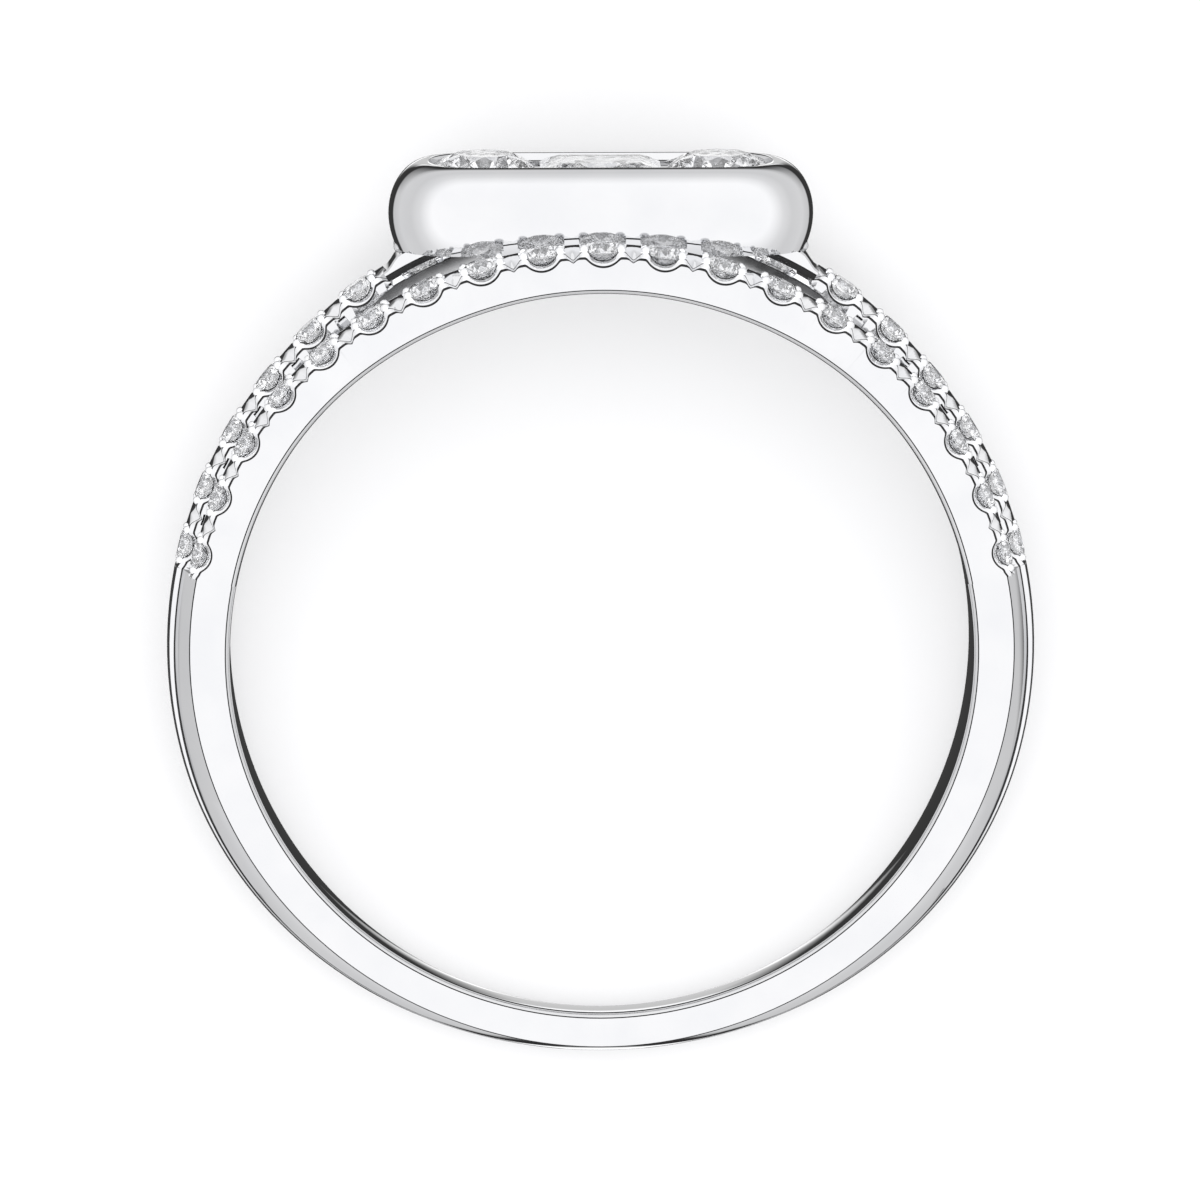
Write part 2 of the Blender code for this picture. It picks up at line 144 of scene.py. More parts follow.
# The centre rail's plain end, down to its chamfer in widths of a stone there
PLATE_TOP = 0.07
PLATE_LOW = -0.24
PLATE_FOOT = -0.36
PLATE_FOOT_INSIDE = 0.05
PLATE_FOOT_SLOPE = 0.03
PLATE_CHAMFER = 0.04
PLATE_LAP = math.radians(0.2)
PLATE_RAMP = math.radians(3.0)
PLATE_END = math.radians(20.5)
PLATE_BEADS = math.radians(26.3)
PLATE_BEAD = 0.15 * MM
PLATE_BEAD_ACROSS = 0.3 * MM
PLATE_BEAD_RISE = 0.18 * MM
# Width of the bevel painted dark as a line of shade, on edges that bend by more than the angle
# below
PLATE_LINE = 0.017 * MM
PLATE_LINE_ANGLE = math.radians(60)

# Head
OPENING_HALF_WIDTH = 1.275 * MM
CORE_HALF = 2.72 * MM
RIM = BORE_RADIUS + 2.77 * MM
RIM_WIDTH = 0.11 * MM
RIM_MORE_AT_CORNER = 0.14 * MM
RIM_ROLL = 0.03 * MM
RIM_SHOULDER = 0.04 * MM
BULGE = RIM - 1.22 * MM
BEZEL_BOTTOM = BORE_RADIUS + 0.75 * MM
WALL_AT_SIDE = 0.6 * MM
WALL_AT_END = 0.87 * MM
SHOULDER_AT_SIDE = math.radians(84)
SHOULDER_AT_END = math.radians(88)
FLANK_RADIUS = 1.7 * MM
FOOT_WALL = 0.5 * MM
SEAT_LEDGE = 0.3 * MM
SEAT_TOP = RIM - 0.32 * MM
SEAT_BOTTOM = SEAT_TOP - 0.26 * MM
SEAT_CHAMFER = 0.1 * MM
SHOULDER_STEPS = 18
FLANK_STEPS = 6
ROLL_STEPS = 4


def smooth(value):
    value = min(max(value, 0.0), 1.0)
    return value * value * (3 - 2 * value)


def mix(a, b, share):
    return a + (b - a) * share


def ring_pose():
    """The turn and place that lay the ring's own frame on the floor, from the shank's side."""
    side = next(m for m in frame["record"]["mounts"] if m["name"] == "shank_side_front")
    axis = Vector(side["axis"])
    turn = Matrix.Rotation(math.atan2(-axis.y, axis.z), 4, "X")
    side_middle = BORE_RADIUS + (BORE_EDGE + SIDE_EDGE_RISE_FOOT) / 2
    centre = Vector(side["pos_m"]) - turn @ Vector((0, -side_middle, FOOT_HALF_WIDTH))
    return Matrix.Translation(centre) @ turn


LAID = ring_pose()


# Course of the rails

def from_head(angle):
    return abs(math.remainder(angle, 2 * math.pi))


def ring_point(angle, radius, across):
    return Vector((radius * math.sin(angle), radius * math.cos(angle), across))


def stone_width(angle):
    share = (from_head(angle) - HEAD_ROW_ANGLE) / (PAVE_END_ANGLE - HEAD_ROW_ANGLE)
    return mix(STONE_AT_HEAD, STONE_AT_SHANK, min(max(share, 0.0), 1.0))


def opened(angle, end):
    """0 at the split, 1 at an angle nearer the head."""
    return min(max((SPLIT_ANGLE - from_head(angle)) / (SPLIT_ANGLE - end), 0.0), 1.0)


def side_rail_middle(angle):
    share = opened(angle, HEAD_ROW_ANGLE)
    splay = smooth(share) + SPLAY_START_SLOPE * share * (1 - share) ** 2
    return mix(2 * RAIL_HALF * stone_width(angle), HEAD_ROW_MIDDLE, splay)


def centre_rail_tables(angle):
    return mix(CENTRE_ROW_TABLES, CENTRE_ROW_TABLES_END, smooth(opened(angle, CENTRE_RAIL_END)))


def centre_rail_inside(angle):
    end = CENTRE_ROW_TABLES_END - CENTRE_RAIL_END_DEPTH
    return mix(BORE_RADIUS, end, smooth(opened(angle, CENTRE_RAIL_END) * CENTRE_RAIL_RISE_PACE))


class Rail:
    """One pave rail: its side (1 front, 0 centre, -1 back), and how a pitch's points lie on it."""

    def __init__(self, side):
        self.side = side

    def tables(self, angle):
        return SIDE_ROW_TABLES if self.side else centre_rail_tables(angle)

    def inside(self, angle):
        return BORE_RADIUS if self.side else centre_rail_inside(angle)

    def middle(self, angle):
        return self.side * side_rail_middle(angle)

    def pitch(self, stone):
        """The pitch's length, in widths of the stone."""
        angle = stone * PITCH
        return PITCH * self.tables(angle) / stone_width(angle)

    def lay(self, point, stone):
        angle = (stone + point.x / self.pitch(stone)) * PITCH
        width = stone_width(angle)
        across = self.middle(angle) + point.y * width * (self.side or 1)
        radius = self.tables(angle) + point.z * width
        bend = self.tables(angle) + RAIL_BEND * width
        if point.z < RAIL_BEND:
            deep = (RAIL_BEND - point.z) / (RAIL_BEND - RAIL_BOTTOM)
            radius = mix(bend, self.inside(angle), deep)
        return ring_point(angle, radius, across)


FRONT, CENTRE, BACK = Rail(1), Rail(0), Rail(-1)
PLAIN_START_ANGLE = (ROW_STONES_EACH_WAY + LAST_METAL / FRONT.pitch(ROW_STONES_EACH_WAY)) * PITCH


# Ways of shaping

# Places of the finishes and painted light on a metal piece, after plain polished gold: painted
# shade lines, a cast finish with painted shade, a painted highlight
DARK, CAST_AND_SHADE, PAINTED_HIGHLIGHT = 1, 2, 3


def as_object(name, bm):
    mesh = bpy.data.meshes.new(name)
    bm.to_mesh(mesh)
    bm.free()
    made = bpy.data.objects.new(name, mesh)
    bpy.context.scene.collection.objects.link(made)
    return made


def bent_grid(along, around, place, finish_and_painted_light=None):
    """A grid whose corners are set by place(index along, index around), with welded seams.

    A strip, which runs lengthwise, gets the material that the given function picks by its index
    around: a finish, painted shade or a painted highlight.
    """
    bm = bmesh.new()
    bmesh.ops.create_grid(bm, x_segments=along, y_segments=around, size=0.5)
    if finish_and_painted_light:
        for face in bm.faces:
            face.material_index = finish_and_painted_light(int((face.calc_center_median().y + 0.5) * around))
    for vert in bm.verts:
        i = round((vert.co.x + 0.5) * along)
        j = round((vert.co.y + 0.5) * around)
        vert.co = place(i, j)
    bmesh.ops.remove_doubles(bm, verts=bm.verts[:], dist=1e-8)
    return bm


def swept(loops, finish_and_painted_light=None):
    """A skin over closed cross-sections, each a loop of as many points as the last."""
    count = len(loops[0])
    return bent_grid(len(loops) - 1, count, lambda i, j: loops[i][j % count], finish_and_painted_light)


def with_mirrored(strips, last):
    """Strips of a section's right half and their mirror images; that of strip 0 is at last."""
    return strips + tuple(last - strip for strip in strips)


def add_in(target, source):
    """Adds a bmesh to another, and frees it."""
    scratch = bpy.data.meshes.new("scratch")
    source.to_mesh(scratch)
    source.free()
    target.from_mesh(scratch)
    bpy.data.meshes.remove(scratch)


def piece(name, bm, finishes_and_painted_light, sharp=None):
    """A finished piece: laid in place, closed, normals outwards, riding on the frame.

    It is shaded smooth between the edges that bend by more than sharp, in degrees.
    """
    bm.transform(LAID)
    open_edges = [edge for edge in bm.edges if edge.is_boundary]
    if open_edges:
        bmesh.ops.holes_fill(bm, edges=open_edges, sides=0)
    bmesh.ops.recalc_face_normals(bm, faces=bm.faces[:])
    made = as_object(name, bm)
    if sharp:
        made.data.shade_smooth()
        made.data.set_sharp_from_angle(angle=math.radians(sharp))
    for finish_and_painted_light in finishes_and_painted_light:
        made.data.materials.append(finish_and_painted_light)
    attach(made, "root")
    return made


def bore_edge(side, bottom, radius, line):
    """The rounding from the bore to a side face, where it ends in a fine strip."""
    turns = [BORE_EDGE_TURN * i / BORE_EDGE_STEPS for i in range(BORE_EDGE_STEPS + 1)]
    rounding = [(side - radius * (1 - math.sin(turn)), bottom + radius * (1 - math.cos(turn)))
                for turn in turns]
    corner = bottom + BORE_EDGE_CORNER * radius
    return rounding + [(side - 0.6 * line, corner - 0.8 * line), (side, corner + line)]


# Places of the strips painted dark as lines of shade at the bore and at the side face, round a
# section
SHANK_BORE_STRIPS = (0, 1)
RAIL_BORE_STRIPS = (0, 1, 2)
SIDE_STRIP = BORE_EDGE_STEPS + 1


# Rails

def lower(a, b):
    """The lower of two heights, blended where they cross."""
    near = max(SOFT - abs(a - b), 0.0) / SOFT
    return min(a, b) - near * near * SOFT / 4


def rail_top(x, y, pitch, both_sides):
    """Height of a rail's top at a place in a pitch: chamfers, scoop, notches, ledge and seat."""
    side = abs(y) if both_sides else y
    into = (side - RAIL_SHOULDER) / SIDE_CHAMFER
    top = RAIL_TOP + (SIDE_TOP - RAIL_TOP) * max(into, 0.0)
    top += RIDGE * max(1 - abs(y) / RAIL_SHOULDER, 0.0)
    ledge = not both_sides and y < LEDGE_INSIDE
    if side > 0:
        radius = SCOOP + (SCOOP_AT_FACE - SCOOP) * max(into, 0.0)
        if abs(x) < radius:
            top = lower(top, -math.sqrt(radius * radius - x * x))
    if not ledge:
        from_notch = NOTCH_SLOPE * math.hypot(pitch / 2 - abs(x), NOTCH_ROUNDING)
        top = lower(top, NOTCH_TIP + from_notch + NOTCH_FADE * max(NOTCH_REACH - side, 0.0))
        out = math.hypot(x, y)
        if out < SEAT:
            top = min(top, SEAT_TOP_EDGE - SEAT_SLOPE * (SEAT - out))
        return top
    return min(top, LEDGE_TOP)


# Where a rail's top has points, from its outer edge inwards
LIP_ACROSS = (RAIL_HALF - LINE, RAIL_HALF - 0.045, RAIL_HALF - 0.075, RAIL_SHOULDER + LIP_LINE,
              RAIL_SHOULDER)
RIB = (RIB_HALF, RIB_HALF - RIB_SIDE)
OUTER_ACROSS = LIP_ACROSS + (0.35, 0.28, 0.2, 0.1) + RIB
LEDGE_ACROSS = (-0.1, -0.2, -0.28, -0.34, -0.365, -0.375, -0.42, -0.46, -RAIL_HALF + LINE)

# Places of the strips round a rail's section that are painted dark as lines of shade: along the
# top's edge, its lip, the rib's sides
TOP_STRIP = SIDE_STRIP + 2
LIP_STRIP = TOP_STRIP + LIP_ACROSS.index(RAIL_SHOULDER)
RIB_STRIP = TOP_STRIP + len(OUTER_ACROSS) - 1


def rail_loop(x, pitch, both_sides, rise, rib):
    """One cross-section of a rail as (y, z) points, from the bore's outer edge round."""
    if both_sides:
        ys = OUTER_ACROSS + tuple(-y for y in reversed(OUTER_ACROSS))
    else:
        ys = OUTER_ACROSS + (-RIB[1], -RIB[0]) + LEDGE_ACROSS

    def top(y):
        height = rail_top(x, y, pitch, both_sides) + rise
        return height + rib if abs(y) <= RIB[1] and height > RIB_LOWEST else height

    right = bore_edge(RAIL_HALF, RAIL_BOTTOM, BORE_FILLET, BORE_LINE)
    left = [(-y, z) for y, z in reversed(right)]
    crest = [(RAIL_HALF, top(RAIL_HALF) - 0.6 * LINE)]
    crest += [(y, top(y)) for y in ys]
    crest.append((-RAIL_HALF, top(-RAIL_HALF) - 0.6 * LINE))
    return right + crest + left


def bead(x, y):
    bm = bmesh.new()
    bmesh.ops.create_uvsphere(bm, u_segments=10, v_segments=7, radius=1)
    bmesh.ops.scale(bm, verts=bm.verts[:], vec=BEAD_RADII)
    bmesh.ops.translate(bm, verts=bm.verts[:], vec=(x, y, BEAD_MIDDLE))
    return bm


def rail_bm(rail, stones):
    """A rail along a run of neighbouring stones, which rises to the plain shank at its end."""
    both_sides = rail.side == 0
    stations = []
    for stone in stones:
        pitch = rail.pitch(stone)
        for i in range(PITCH_STEPS):
            stations.append((stone, pitch * (i / PITCH_STEPS - 0.5), pitch))
    stations.append((stones[-1], rail.pitch(stones[-1]) / 2, rail.pitch(stones[-1])))
    loops = []
    for stone, x, pitch in stations:
        rise = 0.0
        rib = RIB_RISE
        if abs(stone) == ROW_STONES_EACH_WAY:
            out = math.copysign(1, stone) * x
            if out > LAST_METAL + 0.5 * pitch / PITCH_STEPS:
                continue
            rise = LAST_RISE * smooth((out - LAST_RISE_START) / (LAST_METAL - LAST_RISE_START))
            rib *= smooth((LAST_RIB - out) / LAST_RIB_FADE)
        loop = rail_loop(x, pitch, both_sides, rise, rib)
        loops.append([rail.lay(Vector((x, y, z)), stone) for y, z in loop])
    last = len(loops[0]) - 2
    # Painted shade: the strips at the bore, the side faces, the top's edges, the lip and the rib's
    # sides are painted near black as lines of shade
    dark = with_mirrored(RAIL_BORE_STRIPS + (SIDE_STRIP, TOP_STRIP), last)
    dark += (LIP_STRIP, RIB_STRIP, RIB_STRIP + 2)
    if both_sides:
        dark += (last - LIP_STRIP,)

    # The side rails' inner sides, between the rails, get the rough cast finish darkened as painted
    # shade; the top between its edges is a painted highlight
    def finish_and_painted_light(strip):
        if strip in dark:
            return DARK
        if strip == last - SIDE_STRIP - 1 and not both_sides:
            return CAST_AND_SHADE
        return PAINTED_HIGHLIGHT if TOP_STRIP < strip < last - TOP_STRIP else 0

    return swept(loops, finish_and_painted_light)


def beads_bm(rail, stones):
    """Four beads round every stone of a run, each a little out of line, as raised by hand."""
    whole = bmesh.new()
    for stone in stones:
        for x in (-BEAD_ALONG, BEAD_ALONG):
            for y in (-BEAD_ACROSS, BEAD_ACROSS):
                dome = bead(x + BEAD_STRAY * math.sin(7.3 * stone + 11 * y), y)
                for vert in dome.verts:
                    vert.co = rail.lay(vert.co, stone)
                add_in(whole, dome)
    return whole


def last_beads_bm(way):
    """A bead at the end of each rail, where the plain shank starts."""
    bm = bmesh.new()
    for rail in (FRONT, CENTRE, BACK):
        dome = bmesh.new()
        bmesh.ops.create_uvsphere(dome, u_segments=16, v_segments=10, radius=LAST_BEAD)
        along = way * (LAST_METAL - LAST_BEAD_INSIDE)
        middle = Vector((along, LAST_BEAD_ACROSS * abs(rail.side), LAST_BEAD_MIDDLE))
        for vert in dome.verts:
            vert.co = rail.lay(vert.co + middle, way * ROW_STONES_EACH_WAY)
        add_in(bm, dome)
    return bm


def rail_plate_bm(way):
    """The centre rail's plain end, from its first stone to under the bezel.

    Its crisp edges are painted dark as lines of shade, and its sides below the step are painted
    dark as shadow.
    """
    first = (CENTRE_ROW_FIRST - 0.5) * PITCH
    foot = RAIL_HALF - PLATE_FOOT_INSIDE
    corners = [
        (-foot, PLATE_FOOT),
        (foot, PLATE_FOOT),
        (foot, PLATE_LOW),
        (RAIL_HALF, PLATE_LOW + PLATE_FOOT_SLOPE),
        (RAIL_HALF, PLATE_TOP - PLATE_CHAMFER),
        (RAIL_HALF - PLATE_CHAMFER, PLATE_TOP),
        (-RAIL_HALF + PLATE_CHAMFER, PLATE_TOP),
        (-RAIL_HALF, PLATE_TOP - PLATE_CHAMFER),
        (-RAIL_HALF, PLATE_LOW + PLATE_FOOT_SLOPE),
        (-foot, PLATE_LOW),
    ]
    steps = 14

    def place(i, j):
        angle = mix(first + PLATE_LAP, PLATE_END, i / steps)
        y, z = corners[j % len(corners)]
        if z > PLATE_LOW + PLATE_FOOT_SLOPE:
            z -= (PLATE_TOP - RAIL_TOP) * smooth(1 - (first - angle) / PLATE_RAMP)
        width = stone_width(angle)
        spot = ring_point(angle, centre_rail_tables(angle) + z * width, y * width)
        return Vector((way * spot.x, spot.y, spot.z))

    bm = bent_grid(steps, len(corners), place)
    # Painted shade: crisp edges get a near-black bevel, and sideways faces below the step turn near
    # black as shadow
    crisp = [e for e in bm.edges if e.is_manifold and e.calc_face_angle() > PLATE_LINE_ANGLE]
    bmesh.ops.bevel(bm, geom=crisp, offset=PLATE_LINE, segments=1, profile=0.5, affect="EDGES",
                    material=DARK, clamp_overlap=False)
    for face in bm.faces:
        spot = face.calc_center_median()
        step = centre_rail_tables(math.atan2(abs(spot.x), spot.y)) + PLATE_LOW * MM
        faces_sideways = abs(face.normal.z) > 0.7
        if math.hypot(spot.x, spot.y) < step and faces_sideways:
            face.material_index = DARK
    return bm


def end_beads_bm(way):
    """The beads on the plain end, against the bezel."""
    bm = bmesh.new()
    for across in (PLATE_BEAD_ACROSS, -PLATE_BEAD_ACROSS):
        dome = bmesh.new()
        bmesh.ops.create_uvsphere(dome, u_segments=16, v_segments=10, radius=PLATE_BEAD)
        spot = ring_point(PLATE_BEADS, centre_rail_tables(PLATE_BEADS) + PLATE_BEAD_RISE, across)
        bmesh.ops.translate(dome, verts=dome.verts[:], vec=(way * spot.x, spot.y, spot.z))
        add_in(bm, dome)
    return bm


# Plain shank

def shank_section(angle):
    """The three rails run together, as one loop of (across, radius)."""
    place = from_head(angle)
    span = math.pi - FOOT_FLAT_ANGLE - PLAIN_START_ANGLE
    taper = smooth((place - PLAIN_START_ANGLE) / span)
    rail = mix(RAIL_HALF * STONE_AT_SHANK, FOOT_HALF_WIDTH / 3, taper)
    edge = 3 * rail
    grooved = 1 - smooth((place - PLAIN_START_ANGLE) / (GROOVE_END_ANGLE - PLAIN_START_ANGLE))
    crowned = smooth((place - CROWN_FULL_ANGLE) / (math.pi - CROWN_FULL_ANGLE))
    side = BORE_RADIUS + mix(SIDE_EDGE_RISE, SIDE_EDGE_RISE_FOOT, taper)
    crown = BORE_RADIUS + mix(CROWN_RISE, CROWN_RISE_FOOT, crowned)
    slope_top = mix(mix(side, crown, SLOPE_TOP_SHARE), BORE_RADIUS + GROOVE_RISE, grooved)
    right = bore_edge(edge, BORE_RADIUS, BORE_EDGE, SHANK_BORE_LINE)
    right += [
        (edge, side - 0.5 * SHANK_LINE),
        (edge - 0.8 * SHANK_LINE, side + 0.25 * SHANK_LINE),
        (mix(edge, rail, 0.5), mix(side, slope_top, SLOPE_MIDDLE_SHARE)),
        (rail + GROOVE_HALF, slope_top),
    ]
    crest = (
        # across, height at the foot as a share from side edge to crown, height beside the groove
        (rail, 0.77, slope_top - GROOVE_DEPTH),
        (rail - GROOVE_HALF, 0.82, slope_top + GROOVE_LINE),
        (rail - 1.5 * GROOVE_HALF, 0.86, crown - 2.0 * GROOVE_HALF),
        (rail - 3.5 * GROOVE_HALF, 0.93, crown - 0.7 * GROOVE_HALF),
        (mix(rail, 0, 0.6), 0.97, crown - 0.2 * GROOVE_HALF),
    )
    for across, share, high in crest:
        right.append((across, mix(mix(side, crown, share), high, grooved)))
    left = [(-across, radius) for across, radius in reversed(right)]
    return right + [(0.0, crown)] + left


def shank_bm():
    steps = 120
    start = PLAIN_START_ANGLE - PLAIN_LAP
    loops = []
    for i in range(steps + 1):
        angle = mix(start, 2 * math.pi - start, i / steps)
        loops.append([ring_point(angle, radius, across) for across, radius in shank_section(angle)])
    # Painted shade: the strips at the bore, along the side face's edges, in the groove and beside
    # the crown are painted near black as lines of shade
    slope_strip, groove_strip, crown_strip = SIDE_STRIP + 2, SIDE_STRIP + 6, SIDE_STRIP + 8
    near = SHANK_BORE_STRIPS + (SIDE_STRIP, slope_strip, groove_strip, crown_strip)
    dark = with_mirrored(near, len(loops[0]) - 2)
    return swept(loops, lambda strip: DARK if strip in dark else 0)


# Bezel

def bezel_profile(end_share):
    """The wall as a loop of (distance from the core line, height); 0 at a side, 1 at an end.

    The rim is widest half way between a side and an end, which squares the outside a little.
    """
    wall = mix(WALL_AT_SIDE, WALL_AT_END, end_share)
    steep = mix(SHOULDER_AT_SIDE, SHOULDER_AT_END, end_share)
    rim_width = RIM_WIDTH + RIM_MORE_AT_CORNER * 4 * end_share * (1 - end_share)
    rim_edge = OPENING_HALF_WIDTH + rim_width - RIM_SHOULDER * (1 - math.cos(steep))
    rim_low = RIM - RIM_SHOULDER * (1 - math.sin(steep))
    shoulder = []
    for i in range(SHOULDER_STEPS + 1):
        lean = steep * (1 - i / SHOULDER_STEPS)
        out = (math.cos(lean) - math.cos(steep)) / (1 - math.cos(steep))
        high = math.sin(lean) / math.sin(steep)
        shoulder.append((rim_edge + wall * out, mix(BULGE, rim_low, high)))
    flank = []
    for i in range(1, FLANK_STEPS + 1):
        down = (BULGE - BEZEL_BOTTOM) * i / FLANK_STEPS
        flank.append((rim_edge + wall - down * down / (2 * FLANK_RADIUS), BULGE - down))
    rim = [
        (OPENING_HALF_WIDTH, RIM - RIM_ROLL),
        (OPENING_HALF_WIDTH + 0.3 * RIM_ROLL, RIM - 0.3 * RIM_ROLL),
        (OPENING_HALF_WIDTH + RIM_ROLL, RIM),
    ]
    roll = OPENING_HALF_WIDTH + rim_width - RIM_SHOULDER
    for i in range(ROLL_STEPS):
        turn = mix(math.pi / 2, steep, i / ROLL_STEPS)
        down = RIM_SHOULDER * (1 - math.sin(turn))
        rim.append((roll + RIM_SHOULDER * math.cos(turn), RIM - down))
    hollow = [
        (OPENING_HALF_WIDTH + FOOT_WALL - SEAT_CHAMFER, BEZEL_BOTTOM),
        (OPENING_HALF_WIDTH - SEAT_LEDGE, BEZEL_BOTTOM + SEAT_CHAMFER),
        (OPENING_HALF_WIDTH - SEAT_LEDGE, SEAT_BOTTOM),
        (OPENING_HALF_WIDTH, SEAT_TOP),
    ]
    return rim + shoulder + flank + hollow


def bezel_bm():
    """The wall's profile carried round the core line: two long sides and two round ends."""
    turns = 40
    stations = []
    for end in (1, -1):
        for i in range(turns + 1):
            turn = math.pi * (i / turns - 0.5)
            outward = Vector((end * math.cos(turn), 0, end * math.sin(turn)))
            stations.append((Vector((end * CORE_HALF, 0, 0)), outward))
    stations.append(stations[0])
    loops = []
    for core, outward in stations:
        profile = bezel_profile(outward.x ** 2)
        loops.append([core + outward * d + UP * h for d, h in profile])
    return swept(loops)


# Stones

def brilliant(width, table, crown, pavilion, girdle):
    """A round brilliant, table at height 0 facing +Z: the hull of five levels and a point.

    The sizes after the width are shares of it.
    """
    radius = width / 2
    table_radius = table * radius
    star = mix(table_radius, radius, 0.5)
    corner = math.cos(math.pi / 8)
    star_drop = crown * width * (star * corner - table_radius) / (radius - table_radius)
    girdle_top = -crown * width
    girdle_low = girdle_top - girdle * width
    culet = girdle_low - pavilion * width
    tip = 0.24
    levels = (
        # radius, height, corners, turn in corners
        (table_radius, 0.0, 8, 0.0),
        (star, -star_drop, 8, 0.5),
        (radius, girdle_top, 16, 0.0),
        (radius, girdle_low, 16, 0.0),
        (tip * radius, mix(culet, girdle_low, tip * corner), 8, 0.5),
    )
    bm = bmesh.new()
    for ring_radius, height, count, offset in levels:
        for i in range(count):
            turn = 2 * math.pi * (i + offset) / count
            bm.verts.new((ring_radius * math.cos(turn), ring_radius * math.sin(turn), height))
    bm.verts.new((0, 0, culet))
    bmesh.ops.convex_hull(bm, input=bm.verts[:])
    bmesh.ops.dissolve_limit(bm, angle_limit=math.radians(0.5), verts=bm.verts[:],
                             edges=bm.edges[:])
    return bm


def pave_stones_bm(rail, stones):
    """Every stone of a run, table outwards."""
    whole = bmesh.new()
    for stone in stones:
        angle = stone * PITCH
        cut = brilliant(stone_width(angle), table=0.57, crown=0.17, pavilion=0.42, girdle=0.02)
        facing = Matrix.Rotation(-angle, 4, "Z") @ Matrix.Rotation(-math.pi / 2, 4, "X")
        spot = ring_point(angle, rail.tables(angle), rail.middle(angle))
        spin = Matrix.Rotation(0.7 * stone + rail.side, 4, "Z")
        cut.transform(Matrix.Translation(spot) @ facing @ spin)
        add_in(whole, cut)
    return whole


# Finishes, with painted light: shade in the gold's crevices, lit and shaded copies of the gold,
# stone reflections

TINT_GRAIN = 700.0
HAZE_GRAIN = 1500.0
HAIRLINE_GRAIN = 6000.0


def new_material(name):
    made = bpy.data.materials.new(name)
    made.use_nodes = True
    return made, made.node_tree.nodes, made.node_tree.links, made.node_tree.nodes["Principled BSDF"]


def noise(nodes, links, scale, detail=4.0):
    where = nodes.new("ShaderNodeTexCoord")
    texture = nodes.new("ShaderNodeTexNoise")
    texture.inputs["Scale"].default_value = scale
    texture.inputs["Detail"].default_value = detail
    links.new(where.outputs["Object"], texture.inputs["Vector"])
    return texture.outputs["Fac"]


def ranged(nodes, links, fac, low, high):
    """The middle of a value's range, 0.3 to 0.7, spread from low to high."""
    made = nodes.new("ShaderNodeMapRange")
    made.inputs["From Min"].default_value = 0.3
    made.inputs["From Max"].default_value = 0.7
    made.inputs["To Min"].default_value = low
    made.inputs["To Max"].default_value = high
    links.new(fac, made.inputs["Value"])
    return made.outputs["Result"]


def tinted(nodes, links, fac, *stops):
    """A colour by a value, between stops of (value, colour)."""
    made = nodes.new("ShaderNodeValToRGB")
    for element, (position, color) in zip(made.color_ramp.elements, stops):
        element.position = position
        element.color = color
    links.new(fac, made.inputs["Fac"])
    return made.outputs["Color"]


def bumped(nodes, links, height, strength, distance, shader):
    bump = nodes.new("ShaderNodeBump")
    bump.inputs["Strength"].default_value = strength
    bump.inputs["Distance"].default_value = distance
    links.new(height, bump.inputs["Height"])
    links.new(bump.outputs["Normal"], shader.inputs["Normal"])


def polished_gold(name="polished_white_gold", rough=(0.02, 0.06), grey=0.62, deepest_painted_shade=0.35):
    """White gold with faint buffing haze and hairlines, and painted shade that darkens its
    crevices.
    """
    made, nodes, links, shader = new_material(name)
    shader.inputs["Metallic"].default_value = 1.0
    cool = (0.98 * grey, 0.985 * grey, grey, 1)
    pale = (1.02 * grey, 1.022 * grey, 1.03 * grey, 1)
    tone_and_painted_reflection = tinted(nodes, links, noise(nodes, links, TINT_GRAIN), (0.35, cool), (0.65, pale))
    # Painted shade: an occlusion node darkens the colour in crevices and where parts meet
    crevice = nodes.new("ShaderNodeAmbientOcclusion")
    crevice.samples = 6
    crevice.only_local = True
    crevice.inputs["Distance"].default_value = 0.15 * MM
    painted_shade = ranged(nodes, links, crevice.outputs["AO"], deepest_painted_shade, 1.0)
    with_painted_shade = nodes.new("ShaderNodeMix")
    with_painted_shade.data_type = "RGBA"
    with_painted_shade.blend_type = "MULTIPLY"
    with_painted_shade.inputs["Factor"].default_value = 1.0
    links.new(tone_and_painted_reflection, with_painted_shade.inputs["A"])
    links.new(painted_shade, with_painted_shade.inputs["B"])
    links.new(with_painted_shade.outputs["Result"], shader.inputs["Base Color"])
    haze = ranged(nodes, links, noise(nodes, links, HAZE_GRAIN), *rough)
    links.new(haze, shader.inputs["Roughness"])
    hairlines = noise(nodes, links, HAIRLINE_GRAIN, 2.0)
    bumped(nodes, links, hairlines, 0.03, 0.002 * MM, shader)
    return made


def diamond(name, clear, dark, cell, sparkle):
    """Colourless stone, with painted reflections: the small light and dark fields that its facets
    show in each other, painted into its colour.
    """
    made, nodes, links, shader = new_material(name)
    shader.inputs["Transmission Weight"].default_value = clear
    shader.inputs["IOR"].default_value = 2.42
    shader.inputs["Specular IOR Level"].default_value = sparkle
    shader.inputs["Roughness"].default_value = 0.0
    where = nodes.new("ShaderNodeTexCoord")
    fields = nodes.new("ShaderNodeTexVoronoi")
    fields.inputs["Scale"].default_value = 1 / cell
    links.new(where.outputs["Object"], fields.inputs["Vector"])
    # Painted reflections: fields from light grey to white stand for what the facets mirror
    shaded = (dark, dark * 1.01, dark * 1.03, 1)
    tone_and_painted_reflection = tinted(nodes, links, fields.outputs["Color"], (0.25, shaded), (0.6, (1, 1, 1, 1)))
    links.new(tone_and_painted_reflection, shader.inputs["Base Color"])
    bumped(nodes, links, fields.outputs["Distance"], 0.25, 0.05 * cell, shader)
    return made


# Ring

